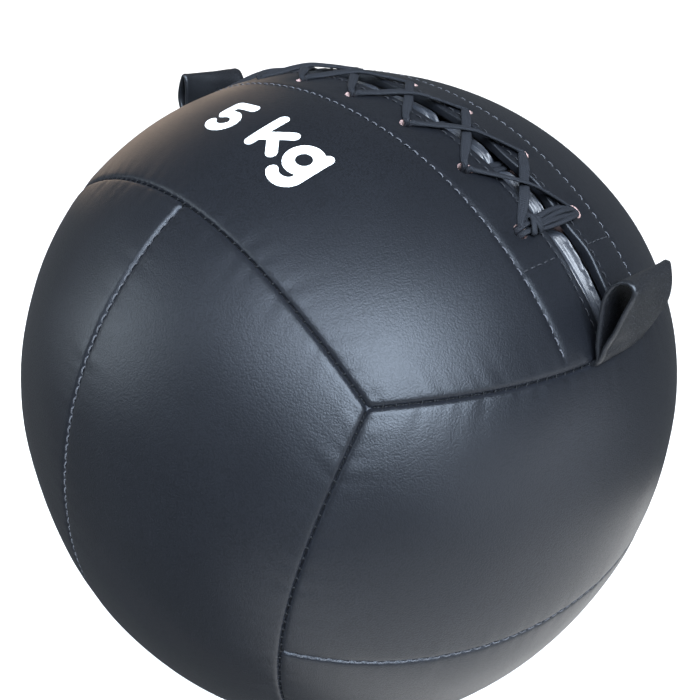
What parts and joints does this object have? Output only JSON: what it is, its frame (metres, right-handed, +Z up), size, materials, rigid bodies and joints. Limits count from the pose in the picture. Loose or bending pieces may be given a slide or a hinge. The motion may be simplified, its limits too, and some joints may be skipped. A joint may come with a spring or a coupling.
{
  "type": "medicine ball",
  "caption": "Soft weighted exercise ball with a stitched panel cover, a laced filling closure on top and two strap loops that swing at the ends of the closure.",
  "frame": {"origin": "on the resting plane, under the ball's centre", "axes": "+Z up through the middle of the laced closure, +X along the closure towards the end where the lace is knotted, -Y towards the side that carries the weight mark"},
  "size_m": [0.343, 0.343, 0.3452],
  "materials": {
    "cover_leather": "semi-gloss black coated leather with a fine pebble grain",
    "strap_leather": "semi-gloss black coated leather strap",
    "tongue_leather": "glossy dark grey coated leather, softly folded",
    "facing_web": "pale woven backing with a dark face",
    "lace_cord": "matt black flat woven lace",
    "seam_thread": "black bonded sewing thread",
    "top_stitch": "dark grey bonded sewing thread",
    "liner_cloth": "unbleached cotton lining",
    "draw_cord": "twisted cotton cord",
    "core_cloth": "brown woven bag cloth",
    "ballast_grit": "packed dry sand",
    "core_tie": "black plastic tie",
    "fibre_fill": "shredded textile fibre filling"
  },
  "bodies": {
    "ball": {"panel_top_back": "cover_leather", "panel_top_front": "cover_leather", "panel_bottom_back": "cover_leather", "panel_bottom_front": "cover_leather", "panel_front_right": "cover_leather", "panel_front_left": "cover_leather", "panel_back_right": "cover_leather", "panel_back_left": "cover_leather", "panel_right_upper": "cover_leather", "panel_right_lower": "cover_leather", "panel_left_upper": "cover_leather", "panel_left_lower": "cover_leather", "seam_thread_top_right": "seam_thread", "seam_thread_top_left": "seam_thread", "seam_thread_bottom_right": "seam_thread", "seam_thread_bottom_left": "seam_thread", "seam_thread_top_front": "seam_thread", "seam_thread_top_back": "seam_thread", "seam_thread_bottom_front": "seam_thread", "seam_thread_bottom_back": "seam_thread", "seam_thread_front_right": "seam_thread", "seam_thread_back_right": "seam_thread", "seam_thread_front_left": "seam_thread", "seam_thread_back_left": "seam_thread", "seam_thread_bottom_split": "seam_thread", "seam_thread_front_split": "seam_thread", "seam_thread_back_split": "seam_thread", "seam_thread_right_split": "seam_thread", "seam_thread_left_split": "seam_thread", "topstitch_outer_back": "top_stitch", "topstitch_edge_back": "top_stitch", "bar_tack_right_back": "top_stitch", "bar_tack_left_back": "top_stitch", "topstitch_outer_front": "top_stitch", "topstitch_edge_front": "top_stitch", "bar_tack_right_front": "top_stitch", "bar_tack_left_front": "top_stitch", "facing_back": "facing_web", "facing_front": "facing_web", "tongue": "tongue_leather", "lace": "lace_cord", "liner_bag": "liner_cloth", "liner_drawcord": "draw_cord", "core_bag": "core_cloth", "ballast": "ballast_grit", "core_tie": "core_tie", "fill_upper": "fibre_fill", "fill_lower": "fibre_fill"},
    "right_strap": {"right_loop": "strap_leather"},
    "left_strap": {"left_loop": "strap_leather"}
  },
  "joints": [
    {"name": "right_loop_swing", "type": "hinge", "parent": "ball", "child": "right_strap", "pos_m": [0.14049, 0, 0.27816], "axis": [0, 1, 0], "range_deg": [-18, 125], "stiffness_Nm_per_rad": 0.06},
    {"name": "left_loop_swing", "type": "hinge", "parent": "ball", "child": "left_strap", "pos_m": [-0.14049, 0, 0.27816], "axis": [0, -1, 0], "range_deg": [-18, 125], "stiffness_Nm_per_rad": 0.06}
  ]
}
